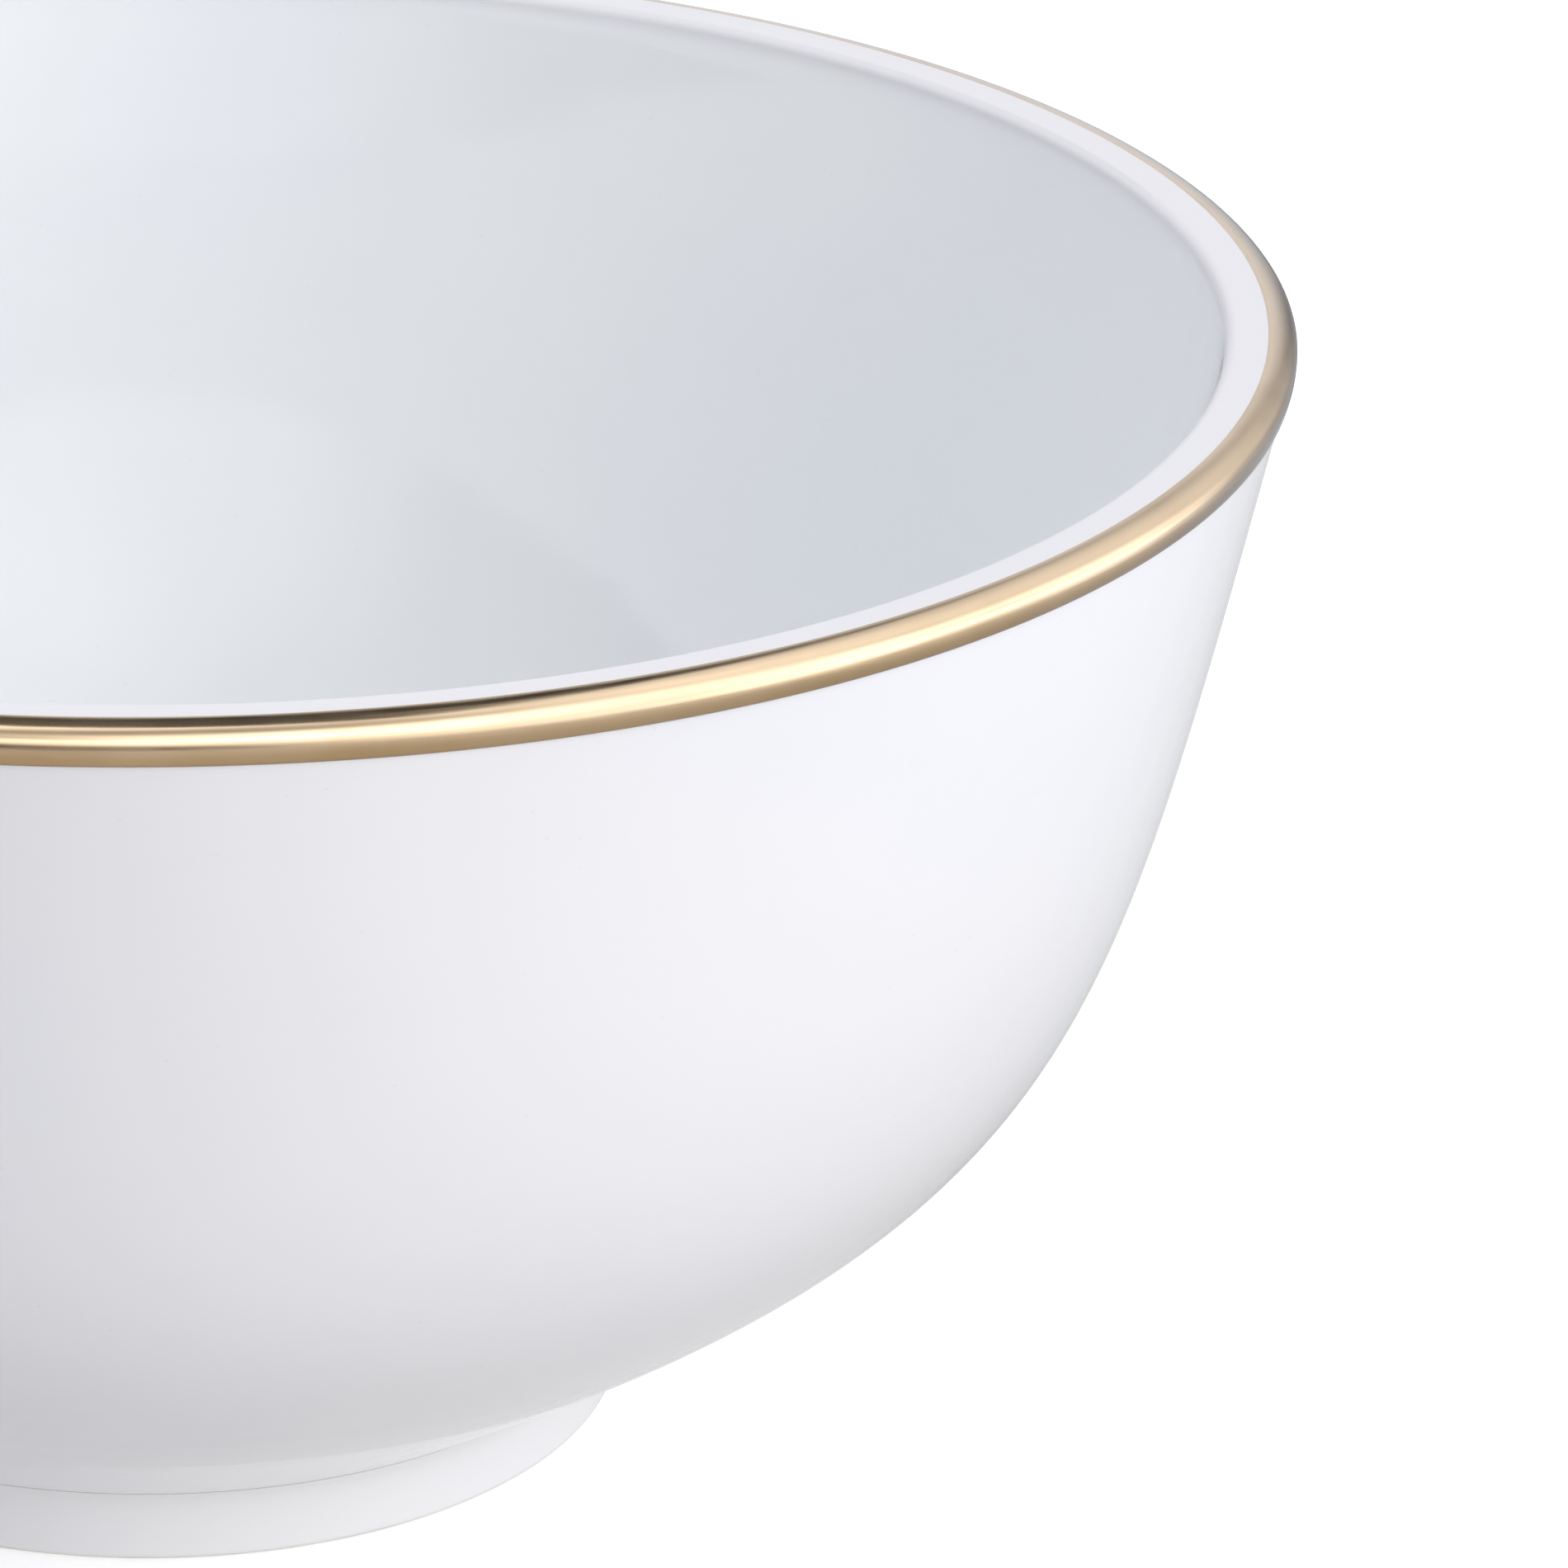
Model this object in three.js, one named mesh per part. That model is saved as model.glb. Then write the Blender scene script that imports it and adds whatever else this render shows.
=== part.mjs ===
// Porcelain serving bowl with a gilded rim.
//
// Four pieces share one upright axis, +Z. The bowl's body and its foot ring are two pieces
// of porcelain. A layer of slip lutes them together and fills the creases on both sides of
// the ring. A gilt band lies in a shallow rebate round the rim, flush with the lip.
// Millimetres, +Z up. The origin is the centre of the foot's flat underside.

import * as THREE from "three";
import { mergeVertices } from "three/addons/utils/BufferGeometryUtils.js";

const degrees = THREE.MathUtils.degToRad;

// Driving dimensions.
const RIM_RADIUS = 105; // outermost point of the rim's bead, over the gilding
const HEIGHT = 107.4; // underside of the foot to the top of the lip
const SEGMENTS = 72; // facets round the axis, the same for every piece
const CLEARANCE = 0.1; // between neighbouring pieces

// The rim's outside is a bead of two elliptical quarters, over and under its widest point.
const BEAD_UPPER_WIDTH = 2.7;
const BEAD_UPPER_HEIGHT = 1.5;
const BEAD_LOWER_WIDTH = 0.7;
const BEAD_LOWER_HEIGHT = 2.1;
const GILT_THICKNESS = 0.3;

// The lip is nearly flat and falls slightly towards a rounded inner edge.
const INSIDE_RADIUS = 98.4; // at the top of the inside wall
const LIP_FALL = 0.2;
const LIP_EDGE_WIDTH = 1.1;
const LIP_EDGE_HEIGHT = 1;

// The foot ring, and the slip that lutes it to the body.
const FOOT_RADIUS = 43.9;
const FOOT_HEIGHT = 6.1;
const FOOT_WALL = 6.2; // width of the ring at its underside
const FOOT_TAPER = 1.2; // how much further in the ring's inside is at the top
const FOOT_EDGE = 0.8; // radius of the ring's two lower edges
const SLIP_LAYER = 0.7; // gap that the slip fills between the ring and the body
const OUTER_FILLET = 3.5; // radius of the slip in the outer crease
const INNER_FILLET = 2.5; // radius of the slip in the inner crease

// The outside of the wall is one cubic curve from the foot to the rim, drawn out twice
// towards a single belly point. It is almost straight at both of its ends.
const BASE_LEVEL = FOOT_HEIGHT + SLIP_LAYER;
const RIM_LEVEL = HEIGHT - BEAD_UPPER_HEIGHT; // height of the rim's widest point
const WALL_FOOT = new THREE.Vector2(FOOT_RADIUS + 0.2, BASE_LEVEL);
const WALL_BELLY = new THREE.Vector2(89.4, 35.4);
const WALL_TOP = new THREE.Vector2(
  RIM_RADIUS - BEAD_LOWER_WIDTH - CLEARANCE,
  RIM_LEVEL - BEAD_LOWER_HEIGHT,
);

// The inside is one cubic curve from the middle of the floor to the lip.
const FLOOR = new THREE.Vector2(0, BASE_LEVEL + 5.5);
const FLOOR_PULL = new THREE.Vector2(79, FLOOR.y);
const INSIDE_BELLY = new THREE.Vector2(84.5, 38);
const INSIDE_TOP = new THREE.Vector2(INSIDE_RADIUS, HEIGHT - LIP_FALL - LIP_EDGE_HEIGHT);

const wallSteps = 14; // straight steps along each of the two curves
const arcStep = degrees(22.5); // most turn between two points on a small arc

const right = 0;
const up = degrees(90);
const left = degrees(180);
const down = degrees(270);

// Points on an upright elliptical arc, both ends included.
function arcPoints(centre, width, height, from, to) {
  const steps = Math.ceil(Math.abs(to - from) / arcStep);
  const points = [];
  for (let step = 0; step <= steps; step += 1) {
    const angle = THREE.MathUtils.lerp(from, to, step / steps);
    const x = centre.x + width * Math.cos(angle);
    const y = centre.y + height * Math.sin(angle);
    points.push(new THREE.Vector2(x, y));
  }
  return points;
}

// The bead's outline from bottom to top, a given depth under the gilded surface.
function beadPoints(depth) {
  const lowerCentre = new THREE.Vector2(RIM_RADIUS - BEAD_LOWER_WIDTH, RIM_LEVEL);
  const upperCentre = new THREE.Vector2(RIM_RADIUS - BEAD_UPPER_WIDTH, RIM_LEVEL);
  const lowerWidth = BEAD_LOWER_WIDTH - depth;
  const lowerHeight = BEAD_LOWER_HEIGHT - depth;
  const upperWidth = BEAD_UPPER_WIDTH - depth;
  const upperHeight = BEAD_UPPER_HEIGHT - depth;
  const lower = arcPoints(lowerCentre, lowerWidth, lowerHeight, -up, right);
  const upper = arcPoints(upperCentre, upperWidth, upperHeight, right, up);
  return [...lower, ...upper.slice(1)];
}

// A closed solid of revolution about Z. The outline is in (radius, height) pairs and runs
// anticlockwise: out along the bottom, up the outside and back in over the top.
function turned(outline) {
  const lathe = new THREE.LatheGeometry(outline, SEGMENTS);
  lathe.deleteAttribute("normal");
  lathe.deleteAttribute("uv");
  const closed = mergeVertices(lathe, 1e-4);
  closed.rotateX(up);
  closed.computeVertexNormals();
  return closed;
}

function bodyOutline() {
  const outside = new THREE.CubicBezierCurve(WALL_FOOT, WALL_BELLY, WALL_BELLY, WALL_TOP);
  const inside = new THREE.CubicBezierCurve(INSIDE_TOP, INSIDE_BELLY, FLOOR_PULL, FLOOR);
  const rebate = beadPoints(GILT_THICKNESS + CLEARANCE);
  const rebateEnd = RIM_RADIUS - BEAD_UPPER_WIDTH - CLEARANCE;
  const lipEdge = new THREE.Vector2(INSIDE_RADIUS + LIP_EDGE_WIDTH, INSIDE_TOP.y);
  return [
    new THREE.Vector2(0, BASE_LEVEL),
    ...outside.getPoints(wallSteps),
    new THREE.Vector2(WALL_TOP.x, rebate[0].y),
    ...rebate,
    new THREE.Vector2(rebateEnd, rebate.at(-1).y),
    new THREE.Vector2(rebateEnd, HEIGHT),
    ...arcPoints(lipEdge, LIP_EDGE_WIDTH, LIP_EDGE_HEIGHT, up, left),
    ...inside.getPoints(wallSteps).slice(1),
  ];
}

function giltOutline() {
  const outer = beadPoints(0);
  const inner = beadPoints(GILT_THICKNESS).reverse();
  return [...outer, ...inner, outer[0].clone()];
}

function footOutline() {
  const innerRadius = FOOT_RADIUS - FOOT_WALL;
  const start = new THREE.Vector2(innerRadius - FOOT_TAPER, FOOT_HEIGHT);
  const innerEdge = new THREE.Vector2(innerRadius + FOOT_EDGE, FOOT_EDGE);
  const outerEdge = new THREE.Vector2(FOOT_RADIUS - FOOT_EDGE, FOOT_EDGE);
  return [
    start,
    ...arcPoints(innerEdge, FOOT_EDGE, FOOT_EDGE, left, down),
    ...arcPoints(outerEdge, FOOT_EDGE, FOOT_EDGE, -up, right),
    new THREE.Vector2(FOOT_RADIUS, FOOT_HEIGHT),
    start.clone(),
  ];
}

// The slip hangs down both sides of the foot ring's top and meets the body on both sides.
function slipOutline() {
  const top = BASE_LEVEL - CLEARANCE;
  const bottom = FOOT_HEIGHT + CLEARANCE;
  const inner = FOOT_RADIUS - FOOT_WALL - FOOT_TAPER - CLEARANCE;
  const outer = FOOT_RADIUS + CLEARANCE;
  const wallSlope = WALL_BELLY.clone().sub(WALL_FOOT).angle();
  const reach = OUTER_FILLET * Math.tan((up - wallSlope) / 2);
  const innerCentre = new THREE.Vector2(inner - INNER_FILLET, top - INNER_FILLET);
  const outerCentre = new THREE.Vector2(outer + OUTER_FILLET, top - reach);
  const innerArc = arcPoints(innerCentre, INNER_FILLET, INNER_FILLET, up, right);
  const outerArc = arcPoints(outerCentre, OUTER_FILLET, OUTER_FILLET, left, up + wallSlope);
  return [
    ...innerArc,
    new THREE.Vector2(inner, bottom),
    new THREE.Vector2(outer, bottom),
    ...outerArc,
    new THREE.Vector2(outer, top),
    innerArc[0].clone(),
  ];
}

function porcelain() {
  return new THREE.MeshStandardMaterial({
    color: new THREE.Color(0.93, 0.93, 0.95),
    roughness: 0.12,
    metalness: 0,
  });
}

function gold() {
  return new THREE.MeshStandardMaterial({
    color: new THREE.Color(0.9, 0.72, 0.44),
    roughness: 0.18,
    metalness: 1,
  });
}

function piece(name, outline, material) {
  const mesh = new THREE.Mesh(turned(outline), material);
  mesh.name = name;
  return mesh;
}

const bowl = new THREE.Group();
bowl.add(piece("bowl_body", bodyOutline(), porcelain()));
bowl.add(piece("foot_ring", footOutline(), porcelain()));
bowl.add(piece("slip_joint", slipOutline(), porcelain()));
bowl.add(piece("gilt_band", giltOutline(), gold()));

export default bowl;
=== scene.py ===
"""Looks of the gilt-rimmed porcelain serving bowl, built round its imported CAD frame.

Every piece is a fine solid of revolution that stands for the CAD node of the same outline.
Lengths are in metres in the CAD's own frame: +Z is the bowl's axis and z = 0 is the table.
"""

import math

import bpy
import numpy as np
from mathutils import Matrix, Vector


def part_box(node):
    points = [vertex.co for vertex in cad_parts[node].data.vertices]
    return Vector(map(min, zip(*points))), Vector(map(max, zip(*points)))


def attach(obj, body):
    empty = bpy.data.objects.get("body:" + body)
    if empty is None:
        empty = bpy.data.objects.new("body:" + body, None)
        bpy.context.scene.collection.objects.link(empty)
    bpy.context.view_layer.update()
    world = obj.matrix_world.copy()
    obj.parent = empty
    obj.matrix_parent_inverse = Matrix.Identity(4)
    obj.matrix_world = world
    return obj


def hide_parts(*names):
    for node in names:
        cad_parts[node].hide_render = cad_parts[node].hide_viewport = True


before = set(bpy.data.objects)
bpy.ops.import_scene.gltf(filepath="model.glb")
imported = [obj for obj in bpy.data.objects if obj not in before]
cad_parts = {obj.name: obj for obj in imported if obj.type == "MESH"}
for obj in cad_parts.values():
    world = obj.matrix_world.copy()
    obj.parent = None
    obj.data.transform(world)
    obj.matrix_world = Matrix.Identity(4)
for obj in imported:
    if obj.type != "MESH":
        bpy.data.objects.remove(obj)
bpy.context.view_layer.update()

MM = 0.001

# Sizes that the CAD frame gives.
RIM_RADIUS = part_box("gilt_band")[1].x
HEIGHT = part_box("gilt_band")[1].z
BEAD_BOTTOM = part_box("gilt_band")[0].z
BASE_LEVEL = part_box("bowl_body")[0].z
FOOT_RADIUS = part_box("foot_ring")[1].x
FOOT_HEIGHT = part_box("foot_ring")[1].z

# The rim: a bead of two elliptical quarters outside, and a nearly flat lip inside it.
BEAD_UPPER_WIDTH = 2.7 * MM
BEAD_UPPER_HEIGHT = 1.5 * MM
BEAD_LOWER_WIDTH = 0.7 * MM
RIM_LEVEL = HEIGHT - BEAD_UPPER_HEIGHT
BEAD_LOWER_HEIGHT = RIM_LEVEL - BEAD_BOTTOM
INSIDE_RADIUS = 98.4 * MM
LIP_FALL = 0.2 * MM
LIP_EDGE_WIDTH = 1.1 * MM
LIP_EDGE_HEIGHT = 1.0 * MM
GILT_FILM = 0.05 * MM
SKIN_GAP = 0.006 * MM  # between two pieces that are fired together

# The wall's outside and inside are one cubic curve each, as in the CAD.
WALL_FOOT = (FOOT_RADIUS + 0.2 * MM, BASE_LEVEL)
WALL_BELLY = (89.4 * MM, 35.4 * MM)
WALL_TOP = (RIM_RADIUS - BEAD_LOWER_WIDTH - 0.1 * MM, BEAD_BOTTOM)
FLOOR = (0.0, BASE_LEVEL + 5.5 * MM)
FLOOR_PULL = (79.0 * MM, FLOOR[1])
INSIDE_BELLY = (84.5 * MM, 38.0 * MM)
INSIDE_TOP = (INSIDE_RADIUS, HEIGHT - LIP_FALL - LIP_EDGE_HEIGHT)

# The foot ring and its slip.
FOOT_WALL = 6.2 * MM
FOOT_TAPER = 1.2 * MM
FOOT_EDGE = 0.8 * MM
OUTER_FILLET = 3.5 * MM
INNER_FILLET = 2.5 * MM

# The camera stands to the bowl as the photographer's did. Distances are in rim radii.
CAMERA_DISTANCE = 7.634
CAMERA_ELEVATION = math.radians(19.49)
CAMERA_YAW = math.radians(4.473)  # how far the camera looks to the right of the axis
CAMERA_PITCH = math.radians(22.572)
CAMERA_ROLL = math.radians(1.169)
CAMERA_LENS = 200.0
SENSOR_WIDTH = 36.0
CLIP_START = 0.01
CLIP_END = 50.0

# The paper that the camera sees, and the table under it that lights the bowl.
PAPER_RADIUS = 1.6
PAPER_DROP = 0.02 * MM
PAPER_GLOW = 0.40
TABLE_RADIUS = 0.30
TABLE_DROP = 0.03 * MM
TABLE_GREY = 0.54
TABLE_GLOW = 0.30  # under and round the foot, fading out between the two radii below
GLOW_RADIUS = 0.055
GLOW_END = 0.095

# The light tent's bright parts: azimuth, elevation and half width in degrees, and brightness.
# Azimuth 0 is on the camera's side, 90 on its right and 180 behind the bowl.
TENT = [
    (0.0, 12.0, 42.0, 1.25),  # the front
    (0.0, 42.0, 45.0, 0.55),
    (45.0, -18.0, 42.0, 1.3),  # low down, from the front right to the back right
    (90.0, -18.0, 42.0, 0.8),
    (135.0, -18.0, 42.0, 0.6),
    (90.0, 12.0, 42.0, 1.2),  # the right
    (45.0, 42.0, 45.0, 1.4),  # high on the front right
    (135.0, 42.0, 45.0, 0.9),  # high on the back right
    (225.0, 42.0, 45.0, 2.6),  # high on the back left, onto the inside of the right wall
    (0.0, 90.0, 50.0, 0.4),  # the roof
    (180.0, 8.0, 25.0, 1.2),  # the backdrop
]
TENT_COLOUR = (0.98, 0.99, 1.0, 1.0)

# The dark gap high behind the bowl. Each pair is where one of its edges fades, in a part of a
# unit direction.
GAP_LEFT = (-0.40, -0.30)  # x
GAP_RIGHT = (0.13, 0.19)  # x
GAP_BACK = (0.33, 0.40)  # y
GAP_BOTTOM = (0.45, 0.52)  # z
GAP_LIGHT = 0.05  # the share of light that is left there

# Colours. A glaze drifts between a cool and a warm white.
WHITE = (1.0, 1.0, 1.0, 1.0)
OUTSIDE_COOL = (0.838, 0.835, 0.876, 1.0)
OUTSIDE_WARM = (0.874, 0.859, 0.882, 1.0)
# The inside's whites are the same glaze painted darker and bluer, as painted shade.
INSIDE_SHADED_COOL = (0.800, 0.818, 0.852, 1.0)
INSIDE_SHADED_WARM = (0.832, 0.842, 0.856, 1.0)
# The foot's whites are the glaze painted lighter, as painted light; the slip takes them too.
FOOT_LIT_COOL = (0.870, 0.866, 0.894, 1.0)
FOOT_LIT_WARM = (0.885, 0.874, 0.890, 1.0)
# The lip's white is the glaze painted greyer, as painted shade on its up-facing top.
LIP_SHADED_WHITE = (0.745, 0.738, 0.772, 1.0)
SPECK = (0.55, 0.53, 0.50, 1.0)
BISCUIT = (0.80, 0.785, 0.75, 1.0)
WORN_BISCUIT = (0.72, 0.70, 0.67, 1.0)
GOLD_BRIGHT = (0.94, 0.71, 0.47, 1.0)
# GOLD_DEEP is also the painted shade along the gold's lower edge.
GOLD_DEEP = (0.62, 0.41, 0.20, 1.0)
GOLD_EDGE_TINT = (0.36, 0.42, 0.54, 1.0)  # of its reflection at a low angle
PAPER_COOL = (0.86, 0.86, 0.865, 1.0)
PAPER_WARM = (0.88, 0.88, 0.88, 1.0)

# The surfaces' detail. Scales are in features to the metre, and the ranges of values from 0 to 1
# say where a noise starts to act and where it acts fully.
DRIFT_SCALE = 14.0
DRIFT_RANGE = (0.35, 0.65)
SPECK_SCALE = 260.0
SPECK_SIZE = (0.035, 0.055)  # as a share of the distance between two specks
SPECK_STRENGTH = 0.10
SMEAR_SCALE = 38.0
SMEAR_RANGE = (0.3, 0.75)
GLAZE_ROUGHNESS = (0.30, 0.42)
WAVE_SCALE = 110.0
WAVE_HEIGHT = 0.012 * MM
RING_TURNS = 1.5
RING_SCALE = 150.0
RING_HEIGHT = 0.02 * MM
GLAZE_POLISH = 0.06
CLEAR_IOR = 1.5
SIDE_BLEND = (-0.1, 0.1)  # slopes over which the inside's painted shade fades in, between the outside, which faces down, and the inside
LIP_TOP = HEIGHT - 0.8 * MM  # the lip's painted grey shade and lower gloss fade out between these two heights
LIP_BOTTOM = HEIGHT - 2.5 * MM
LIP_GLOSS = 0.25
BARE_HEIGHT = (0.25 * MM, 0.40 * MM)  # from bare to glazed
BARE_EDGE_SCALE = 420.0
BARE_EDGE_RANGE = (0.2, 0.8)
BARE_EDGE_SWAY = 0.08 * MM
GRAIN_SCALE = 2600.0
GRAIN_HEIGHT = 0.05 * MM
WEAR_SCALE = 160.0
WEAR_RANGE = (0.45, 0.7)
BISCUIT_ROUGHNESS = 0.78
BRUSH_TURNS = 9.0
BRUSH_SCALE = 2600.0
BRUSH_RANGE = (0.3, 0.75)
BRUSH_HEIGHT = 0.003 * MM
PATCH_SCALE = 60.0
PATCH_RANGE = (0.45, 0.8)
PATCH_STRENGTH = 0.35
GOLD_ROUGHNESS = (0.13, 0.24)
# Painted shade: the gold is painted darker towards its lower edge between these heights.
GOLD_EDGE = (BEAD_BOTTOM + 0.6 * MM, BEAD_BOTTOM + 2.2 * MM)
GOLD_EDGE_SHADE_STRENGTH = 0.8
GOLD_COAT = 0.9
GOLD_POLISH = 0.12
TONE_SCALE = 3.0
TONE_RANGE = (0.3, 0.7)
PAPER_ROUGHNESS = 0.9

# The warp that the kiln gives the bowl, and the steps of the meshes.
WARP_GROW = 0.0004
WARP_GROW_TURN = 0.8  # radians
WARP_SAG = 0.08 * MM
WARP_SAG_TURN = -0.4
SEGMENTS = 288  # round the axis
CURVE_STEPS = 72  # along each of the wall's two curves
ARC_STEPS = 14  # along each small arc
DISC_SIDES = 96
SHARP_ANGLE = math.radians(35.0)
ON_AXIS = 1e-9  # a radius that counts as zero

RIGHT = 0.0
UP = math.pi / 2
LEFT = math.pi
DOWN = -math.pi / 2


# ---------------------------------------------------------------- outlines

def cubic(start, pull_a, pull_b, end, steps=CURVE_STEPS):
    """Points on a cubic curve, both ends included."""
    t = np.linspace(0.0, 1.0, steps + 1)[:, None]
    s = 1.0 - t
    a, b, c, d = (np.array(p) for p in (start, pull_a, pull_b, end))
    return s**3 * a + 3 * s**2 * t * b + 3 * s * t**2 * c + t**3 * d


def arc(centre, width, height, start, end, steps=ARC_STEPS):
    """Points on an upright elliptical arc, both ends included."""
    angle = np.linspace(start, end, steps + 1)
    x = centre[0] + width * np.cos(angle)
    y = centre[1] + height * np.sin(angle)
    return np.stack([x, y], axis=1)


def bead(depth):
    """The rim's bead from bottom to top, a given depth under the gilded surface."""
    lower_centre = (RIM_RADIUS - BEAD_LOWER_WIDTH, RIM_LEVEL)
    upper_centre = (RIM_RADIUS - BEAD_UPPER_WIDTH, RIM_LEVEL)
    lower = arc(lower_centre, BEAD_LOWER_WIDTH - depth, BEAD_LOWER_HEIGHT - depth, DOWN, RIGHT)
    upper = arc(upper_centre, BEAD_UPPER_WIDTH - depth, BEAD_UPPER_HEIGHT - depth, RIGHT, UP)
    return np.concatenate([lower, upper[1:]])


def body_outline():
    """Up the outside, over the rebate for the gold and the lip, and down the inside."""
    outside = cubic(WALL_FOOT, WALL_BELLY, WALL_BELLY, WALL_TOP)
    inside = cubic(INSIDE_TOP, INSIDE_BELLY, FLOOR_PULL, FLOOR)
    seat = bead(GILT_FILM + SKIN_GAP)
    lip_outer = RIM_RADIUS - BEAD_UPPER_WIDTH - SKIN_GAP
    lip_edge = (INSIDE_RADIUS + LIP_EDGE_WIDTH, INSIDE_TOP[1])
    lip = arc(lip_edge, LIP_EDGE_WIDTH, LIP_EDGE_HEIGHT, UP, LEFT)
    lip_start = np.array([[lip_outer, seat[-1][1]], [lip_outer, HEIGHT - SKIN_GAP]])
    return np.concatenate([[(0.0, BASE_LEVEL)], outside, seat, lip_start, lip, inside[1:]])


def gilt_outline():
    """A film of gold over the bead."""
    outer = bead(0.0)
    inner = bead(GILT_FILM)[::-1]
    return np.concatenate([outer, inner])


def foot_outline():
    """The ring's section, wider at the top on its inner side."""
    inner = FOOT_RADIUS - FOOT_WALL
    inner_edge = arc((inner + FOOT_EDGE, FOOT_EDGE), FOOT_EDGE, FOOT_EDGE, -LEFT, DOWN)
    outer_edge = arc((FOOT_RADIUS - FOOT_EDGE, FOOT_EDGE), FOOT_EDGE, FOOT_EDGE, DOWN, RIGHT)
    top = [(FOOT_RADIUS, FOOT_HEIGHT), (inner - FOOT_TAPER, FOOT_HEIGHT)]
    return np.concatenate([inner_edge, outer_edge, top])


def slip_outline():
    """The layer between foot and body, and the fillet on each side of the ring."""
    top = BASE_LEVEL - SKIN_GAP
    bottom = FOOT_HEIGHT + SKIN_GAP
    inner = FOOT_RADIUS - FOOT_WALL - FOOT_TAPER - SKIN_GAP
    outer = FOOT_RADIUS + SKIN_GAP
    wall_slope = math.atan2(WALL_BELLY[1] - WALL_FOOT[1], WALL_BELLY[0] - WALL_FOOT[0])
    corner = top - (WALL_FOOT[0] - outer) * math.tan(wall_slope)
    reach = OUTER_FILLET * math.tan((UP - wall_slope) / 2)
    inner_centre = (inner - INNER_FILLET, top - INNER_FILLET)
    outer_centre = (outer + OUTER_FILLET, corner - reach)
    inner_arc = arc(inner_centre, INNER_FILLET, INNER_FILLET, UP, RIGHT)
    outer_arc = arc(outer_centre, OUTER_FILLET, OUTER_FILLET, LEFT, UP + wall_slope)
    ends = [(inner, bottom), (outer, bottom)]
    return np.concatenate([inner_arc, ends, outer_arc, [(WALL_FOOT[0], top)]])


# ---------------------------------------------------------------- meshes

def fired(points):
    """The slight warp that every piece takes together in the kiln."""
    x, y, z = points[:, 0], points[:, 1], points[:, 2]
    angle = np.arctan2(y, x)
    rise = (z / HEIGHT) ** 2
    grow = 1.0 + WARP_GROW * rise * np.cos(2.0 * angle + WARP_GROW_TURN)
    sag = WARP_SAG * rise * np.cos(2.0 * angle + WARP_SAG_TURN)
    return np.stack([x * grow, y * grow, z + sag], axis=1)


def turned(name, outline):
    """A closed solid of revolution. The outline runs anticlockwise in (radius, height)."""
    on_axis = outline[:, 0] < ON_AXIS
    angles = np.linspace(0.0, 2.0 * math.pi, SEGMENTS, endpoint=False)
    points = []
    rings = []
    for (radius, height), pole in zip(outline, on_axis):
        first = len(points)
        if pole:
            points.append((0.0, 0.0, height))
            rings.append([first] * SEGMENTS)
            continue
        points.extend((radius * math.cos(a), radius * math.sin(a), height) for a in angles)
        rings.append(list(range(first, first + SEGMENTS)))
    faces = []
    closing = [] if on_axis.any() else [(rings[-1], rings[0])]
    for low, high in list(zip(rings, rings[1:])) + closing:
        for k in range(SEGMENTS):
            n = (k + 1) % SEGMENTS
            corners = [low[k], low[n], high[n], high[k]]
            faces.append(tuple(dict.fromkeys(corners)))
    mesh = bpy.data.meshes.new(name)
    mesh.from_pydata(fired(np.array(points)).tolist(), [], faces)
    mesh.validate()
    mesh.shade_smooth()
    mesh.set_sharp_from_angle(angle=SHARP_ANGLE)
    obj = bpy.data.objects.new(name, mesh)
    bpy.context.scene.collection.objects.link(obj)
    return obj


def piece(name, outline, node, material):
    """A turned piece that takes the place of one CAD node."""
    obj = turned(name, outline)
    obj.data.materials.append(material)
    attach(obj, "root")
    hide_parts(node)
    return obj


# ---------------------------------------------------------------- materials

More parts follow.
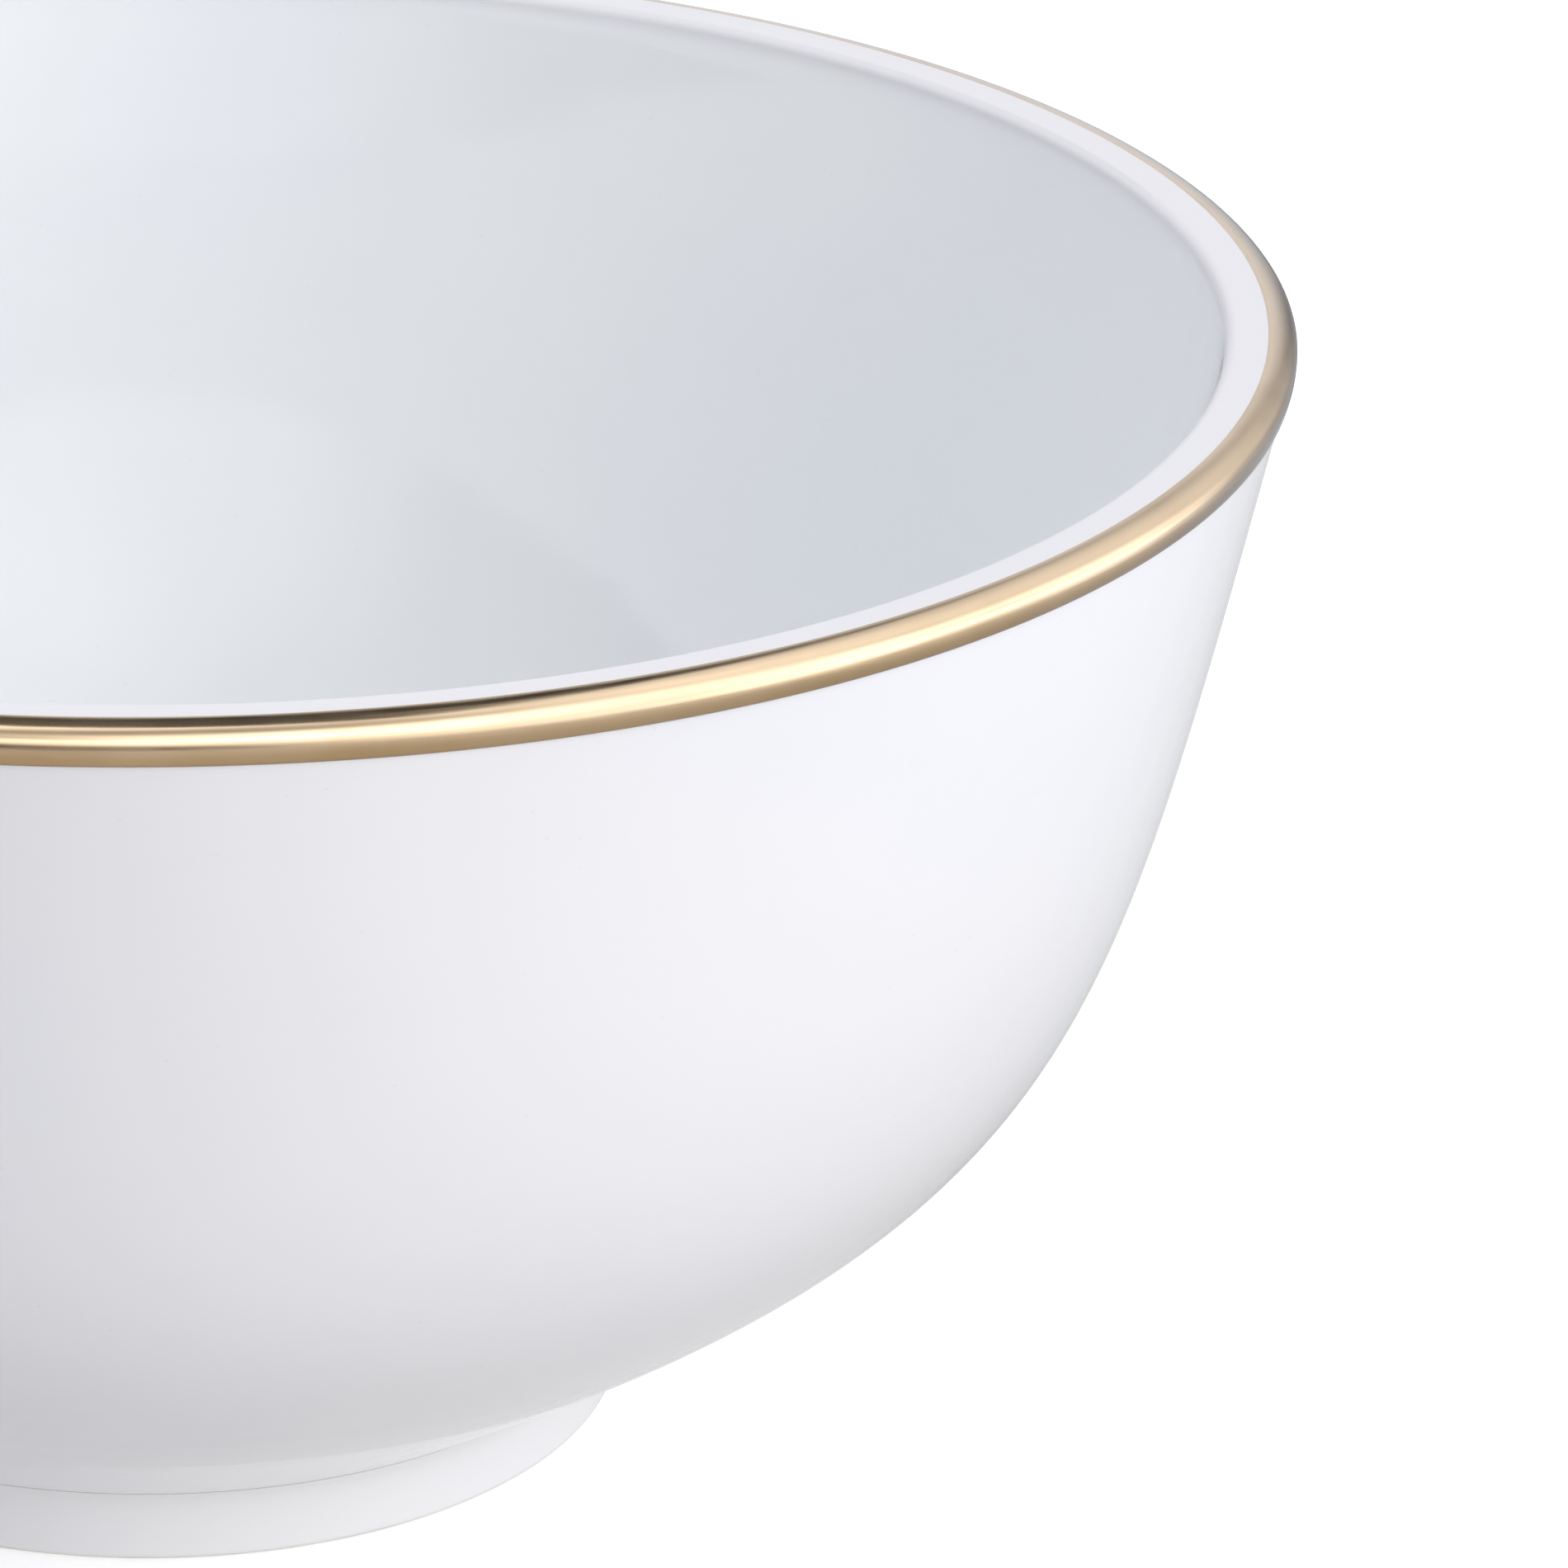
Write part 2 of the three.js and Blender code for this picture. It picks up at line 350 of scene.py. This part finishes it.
class Nodes:
    """Short calls for building a node tree."""

    def __init__(self, tree, coordinates):
        self.tree = tree
        self.place = self.add("ShaderNodeTexCoord").outputs[coordinates]

    def add(self, kind, **settings):
        node = self.tree.nodes.new(kind)
        for key, value in settings.items():
            setattr(node, key, value)
        return node

    def link(self, value, socket):
        """Links a socket, or sets a plain value."""
        if isinstance(value, bpy.types.NodeSocket):
            self.tree.links.new(value, socket)
        else:
            socket.default_value = value

    def math(self, operation, a, b=0.0):
        node = self.add("ShaderNodeMath", operation=operation)
        self.link(a, node.inputs[0])
        self.link(b, node.inputs[1])
        return node.outputs[0]

    def dot(self, vector, direction):
        node = self.add("ShaderNodeVectorMath", operation="DOT_PRODUCT")
        self.link(vector, node.inputs[0])
        self.link(direction, node.inputs[1])
        return node.outputs["Value"]

    def split(self, vector):
        node = self.add("ShaderNodeSeparateXYZ")
        self.link(vector, node.inputs[0])
        return node.outputs[0], node.outputs[1], node.outputs[2]

    def join(self, x, y, z):
        node = self.add("ShaderNodeCombineXYZ")
        for value, socket in zip((x, y, z), node.inputs):
            self.link(value, socket)
        return node.outputs[0]

    def noise(self, scale, detail=2.0, roughness=0.5, vector=None):
        """A noise value from 0 to 1, at so many features to the metre."""
        node = self.add("ShaderNodeTexNoise")
        self.link(self.place if vector is None else vector, node.inputs["Vector"])
        node.inputs["Scale"].default_value = scale
        node.inputs["Detail"].default_value = detail
        node.inputs["Roughness"].default_value = roughness
        return node.outputs["Fac"]

    def spots(self, scale):
        """The distance to the nearest of a field of scattered points."""
        node = self.add("ShaderNodeTexVoronoi")
        self.link(self.place, node.inputs["Vector"])
        node.inputs["Scale"].default_value = scale
        return node.outputs["Distance"]

    def ramp(self, value, low, high, to_low=0.0, to_high=1.0):
        """A value taken smoothly from the range low to high onto another range."""
        node = self.add("ShaderNodeMapRange", interpolation_type="SMOOTHSTEP")
        self.link(value, node.inputs["Value"])
        self.link(low, node.inputs["From Min"])
        self.link(high, node.inputs["From Max"])
        self.link(to_low, node.inputs["To Min"])
        self.link(to_high, node.inputs["To Max"])
        return node.outputs["Result"]

    def mix(self, share, a, b):
        node = self.add("ShaderNodeMix", data_type="RGBA")
        self.link(share, node.inputs["Factor"])
        self.link(a, node.inputs["A"])
        self.link(b, node.inputs["B"])
        return node.outputs["Result"]

    def bump(self, height, depth, under=None):
        """A bump whose height from 0 to 1 stands for a depth in metres."""
        node = self.add("ShaderNodeBump")
        node.inputs["Strength"].default_value = 1.0
        node.inputs["Distance"].default_value = depth
        self.link(height, node.inputs["Height"])
        if under is not None:
            self.link(under, node.inputs["Normal"])
        return node.outputs["Normal"]

    def radius(self):
        """The distance from the bowl's axis."""
        x, y, _ = self.split(self.place)
        square = self.math("ADD", self.math("MULTIPLY", x, x), self.math("MULTIPLY", y, y))
        return self.math("SQRT", square)

    def polar(self, turns, across):
        """A vector that changes slowly round the axis and fast across it."""
        x, y, z = self.split(self.place)
        radius = self.radius()
        cosine = self.math("MULTIPLY", self.math("DIVIDE", x, radius), turns)
        sine = self.math("MULTIPLY", self.math("DIVIDE", y, radius), turns)
        height = self.math("MULTIPLY", self.math("ADD", radius, z), across)
        return self.join(cosine, sine, height)


def surface(name):
    """A new material, with its principled shader as n.shader."""
    material = bpy.data.materials.new(name)
    material.use_nodes = True
    n = Nodes(material.node_tree, "Object")
    n.material = material
    n.shader = material.node_tree.nodes["Principled BSDF"]
    return n


def glaze(n, cool, warm):
    """Glossy glaze that drifts between two whites. Returns its colour, roughness and normal."""
    drift = n.ramp(n.noise(DRIFT_SCALE, detail=3.0), *DRIFT_RANGE)
    colour = n.mix(drift, cool, warm)
    speck = n.ramp(n.spots(SPECK_SCALE), *SPECK_SIZE, SPECK_STRENGTH, 0.0)
    colour = n.mix(speck, colour, SPECK)
    smear = n.noise(SMEAR_SCALE, detail=4.0, roughness=0.6)
    roughness = n.ramp(smear, *SMEAR_RANGE, *GLAZE_ROUGHNESS)
    rings = n.noise(1.0, detail=1.0, vector=n.polar(RING_TURNS, RING_SCALE))
    waves = n.bump(n.noise(WAVE_SCALE, detail=1.0), WAVE_HEIGHT)
    normal = n.bump(rings, RING_HEIGHT, under=waves)
    return colour, roughness, normal


def set_coat(shader, weight, roughness):
    """A clear layer over the surface."""
    shader.inputs["Coat Weight"].default_value = weight
    shader.inputs["Coat Roughness"].default_value = roughness
    shader.inputs["Coat IOR"].default_value = CLEAR_IOR


def porcelain_material():
    """Glazed white, painted darker and blue-green inside as painted shade, painted greyer on the
    lip as painted shade, and less glossy on the lip.
    """
    n = surface("glazed_porcelain")
    slope = n.split(n.add("ShaderNodeTexCoord").outputs["Normal"])[2]
    below_lip = n.ramp(n.split(n.place)[2], LIP_BOTTOM, LIP_TOP, 1.0, 0.0)
    # Painted shade: where the surface faces up below the lip, the glaze takes the inside's
    # darker, bluer whites.
    inside = n.math("MULTIPLY", n.ramp(slope, *SIDE_BLEND), below_lip)
    cool = n.mix(inside, OUTSIDE_COOL, INSIDE_SHADED_COOL)
    warm = n.mix(inside, OUTSIDE_WARM, INSIDE_SHADED_WARM)
    colour, roughness, normal = glaze(n, cool, warm)
    # Painted shade: the lip takes a greyer white.
    n.link(n.mix(below_lip, LIP_SHADED_WHITE, colour), n.shader.inputs["Base Color"])
    n.link(roughness, n.shader.inputs["Roughness"])
    n.link(normal, n.shader.inputs["Normal"])
    n.link(normal, n.shader.inputs["Coat Normal"])
    n.shader.inputs["Specular IOR Level"].default_value = 0.0
    set_coat(n.shader, 1.0, GLAZE_POLISH)
    n.link(n.ramp(below_lip, 0.0, 1.0, LIP_GLOSS, 1.0), n.shader.inputs["Coat Weight"])
    return n.material


def foot_material():
    """Glazed like the body but painted lighter, as painted light, and wiped bare and worn where
    the ring touches the table.
    """
    n = surface("foot_porcelain")
    # Painted light: the foot's glaze is lighter than the body's.
    colour, roughness, normal = glaze(n, FOOT_LIT_COOL, FOOT_LIT_WARM)
    height = n.split(n.place)[2]
    edge = n.noise(BARE_EDGE_SCALE, detail=3.0)
    sway = n.ramp(edge, *BARE_EDGE_RANGE, -BARE_EDGE_SWAY, BARE_EDGE_SWAY)
    bare = n.ramp(n.math("ADD", height, sway), *BARE_HEIGHT, 1.0, 0.0)
    grain = n.noise(GRAIN_SCALE, detail=3.0, roughness=0.7)
    worn = n.ramp(n.noise(WEAR_SCALE, detail=4.0), *WEAR_RANGE)
    biscuit = n.mix(worn, BISCUIT, WORN_BISCUIT)
    n.link(n.mix(bare, colour, biscuit), n.shader.inputs["Base Color"])
    n.link(n.ramp(bare, 0.0, 1.0, roughness, BISCUIT_ROUGHNESS), n.shader.inputs["Roughness"])
    rough_normal = n.bump(n.math("MULTIPLY", grain, bare), GRAIN_HEIGHT, under=normal)
    n.link(rough_normal, n.shader.inputs["Normal"])
    n.link(normal, n.shader.inputs["Coat Normal"])
    n.shader.inputs["Specular IOR Level"].default_value = 0.0
    set_coat(n.shader, 1.0, GLAZE_POLISH)
    n.link(n.math("SUBTRACT", 1.0, bare), n.shader.inputs["Coat Weight"])
    return n.material


def gold_material():
    """Gold under a clear gloss, with brush marks round the rim and a painted shade darkening its
    lower edge.
    """
    n = surface("burnished_gold")
    height = n.split(n.place)[2]
    streaks = n.noise(1.0, detail=3.0, roughness=0.6, vector=n.polar(BRUSH_TURNS, BRUSH_SCALE))
    patches = n.ramp(n.noise(PATCH_SCALE, detail=3.0), *PATCH_RANGE, 0.0, PATCH_STRENGTH)
    # Painted shade: the lower edge of the gold is darkened by height.
    lower_edge_shade = n.ramp(height, *GOLD_EDGE, 1.0, 0.0)
    patches_and_shade = n.math("ADD", patches, n.math("MULTIPLY", lower_edge_shade, GOLD_EDGE_SHADE_STRENGTH))
    n.link(n.mix(patches_and_shade, GOLD_BRIGHT, GOLD_DEEP), n.shader.inputs["Base Color"])
    n.link(n.ramp(streaks, *BRUSH_RANGE, *GOLD_ROUGHNESS), n.shader.inputs["Roughness"])
    n.link(n.bump(streaks, BRUSH_HEIGHT), n.shader.inputs["Normal"])
    n.shader.inputs["Metallic"].default_value = 1.0
    n.shader.inputs["Specular Tint"].default_value = GOLD_EDGE_TINT
    set_coat(n.shader, GOLD_COAT, GOLD_POLISH)
    return n.material


def paper_material():
    """White paper. It is clear from below, so the bowl's underside can be looked at."""
    n = surface("floor_paper")
    tone = n.ramp(n.noise(TONE_SCALE, detail=2.0), *TONE_RANGE)
    n.link(n.mix(tone, PAPER_COOL, PAPER_WARM), n.shader.inputs["Base Color"])
    n.shader.inputs["Roughness"].default_value = PAPER_ROUGHNESS
    n.shader.inputs["Specular IOR Level"].default_value = 0.0
    n.shader.inputs["Emission Color"].default_value = WHITE
    n.shader.inputs["Emission Strength"].default_value = PAPER_GLOW
    below = n.add("ShaderNodeNewGeometry").outputs["Backfacing"]
    n.link(n.math("SUBTRACT", 1.0, below), n.shader.inputs["Alpha"])
    return n.material


def table_material():
    """A dull grey that glows faintly under and round the foot."""
    n = surface("table")
    glow = n.ramp(n.radius(), GLOW_RADIUS, GLOW_END, TABLE_GLOW, 0.0)
    n.link(glow, n.shader.inputs["Emission Strength"])
    n.shader.inputs["Emission Color"].default_value = WHITE
    n.shader.inputs["Base Color"].default_value = (TABLE_GREY, TABLE_GREY, TABLE_GREY, 1.0)
    n.shader.inputs["Roughness"].default_value = 1.0
    n.shader.inputs["Specular IOR Level"].default_value = 0.0
    return n.material


# ---------------------------------------------------------------- camera, light and floor

def make_camera():
    """Aimed by turning alone, so the lens isn't shifted."""
    data = bpy.data.cameras.new("camera")
    data.lens = CAMERA_LENS
    data.sensor_width = SENSOR_WIDTH
    data.clip_start = CLIP_START
    data.clip_end = CLIP_END
    camera = bpy.data.objects.new("camera", data)
    bpy.context.scene.collection.objects.link(camera)
    reach = CAMERA_DISTANCE * RIM_RADIUS
    rim_centre = Vector((0.0, 0.0, RIM_LEVEL))
    back = Vector((0.0, -math.cos(CAMERA_ELEVATION), math.sin(CAMERA_ELEVATION)))
    level_turn = Matrix.Rotation(-CAMERA_YAW, 4, "Z")
    tilt = Matrix.Rotation(math.pi / 2 - CAMERA_PITCH, 4, "X")
    roll = Matrix.Rotation(CAMERA_ROLL, 4, "Z")
    camera.matrix_world = Matrix.Translation(rim_centre + reach * back) @ level_turn @ tilt @ roll
    bpy.context.scene.camera = camera


def towards(azimuth, elevation):
    """A unit vector. Azimuth 0 points at the camera's side and 90 to its right, in degrees."""
    a, e = math.radians(azimuth), math.radians(elevation)
    return Vector((math.sin(a) * math.cos(e), -math.cos(a) * math.cos(e), math.sin(e)))


def make_world():
    """A light tent with a dark gap behind the bowl. The camera itself sees plain white."""
    world = bpy.data.worlds.new("light_tent")
    bpy.context.scene.world = world
    world.use_nodes = True
    world.node_tree.nodes.clear()
    n = Nodes(world.node_tree, "Generated")
    x, y, z = n.split(n.place)
    light = 0.0
    for azimuth, elevation, half_width, strength in TENT:
        facing = n.dot(n.place, towards(azimuth, elevation))
        edge = math.cos(math.radians(half_width))
        light = n.math("ADD", light, n.ramp(facing, edge, 1.0, 0.0, strength))
    across = n.math("MULTIPLY", n.ramp(x, *GAP_LEFT), n.ramp(x, *GAP_RIGHT, 1.0, 0.0))
    behind = n.math("MULTIPLY", n.ramp(y, *GAP_BACK), n.ramp(z, *GAP_BOTTOM))
    gap = n.math("MULTIPLY", across, behind)
    light = n.math("MULTIPLY", light, n.ramp(gap, 0.0, 1.0, 1.0, GAP_LIGHT))
    tent = n.add("ShaderNodeBackground")
    n.link(TENT_COLOUR, tent.inputs["Color"])
    n.link(light, tent.inputs["Strength"])
    plain = n.add("ShaderNodeBackground")
    n.link(WHITE, plain.inputs["Color"])
    choose = n.add("ShaderNodeMixShader")
    n.link(n.add("ShaderNodeLightPath").outputs["Is Camera Ray"], choose.inputs[0])
    n.link(tent.outputs[0], choose.inputs[1])
    n.link(plain.outputs[0], choose.inputs[2])
    n.link(choose.outputs[0], n.add("ShaderNodeOutputWorld").inputs["Surface"])


def level_disc(name, radius, drop, material):
    """A flat round of floor, a little under the foot."""
    angles = np.linspace(0.0, 2.0 * math.pi, DISC_SIDES, endpoint=False)
    edge = [(radius * math.cos(a), radius * math.sin(a), -drop) for a in angles]
    mesh = bpy.data.meshes.new(name)
    mesh.from_pydata(edge, [], [tuple(range(len(edge)))])
    mesh.materials.append(material)
    disc = bpy.data.objects.new(name, mesh)
    bpy.context.scene.collection.objects.link(disc)
    return disc


def make_floor():
    """The camera sees only the white paper, and the bowl only the greyer table under it."""
    paper = level_disc("floor", PAPER_RADIUS, PAPER_DROP, paper_material())
    paper.visible_diffuse = False
    paper.visible_glossy = False
    paper.visible_shadow = False
    table = level_disc("table", TABLE_RADIUS, TABLE_DROP, table_material())
    table.visible_camera = False


make_camera()
make_world()
make_floor()

# This material paints the foot and the slip lighter than the body, as painted light.
foot_porcelain = foot_material()
piece("bowl_body_fine", body_outline(), "bowl_body", porcelain_material())
piece("foot_ring_fine", foot_outline(), "foot_ring", foot_porcelain)
piece("slip_joint_fine", slip_outline(), "slip_joint", foot_porcelain)
piece("gilt_band_fine", gilt_outline(), "gilt_band", gold_material())

bpy.context.scene.view_settings.view_transform = "Standard"
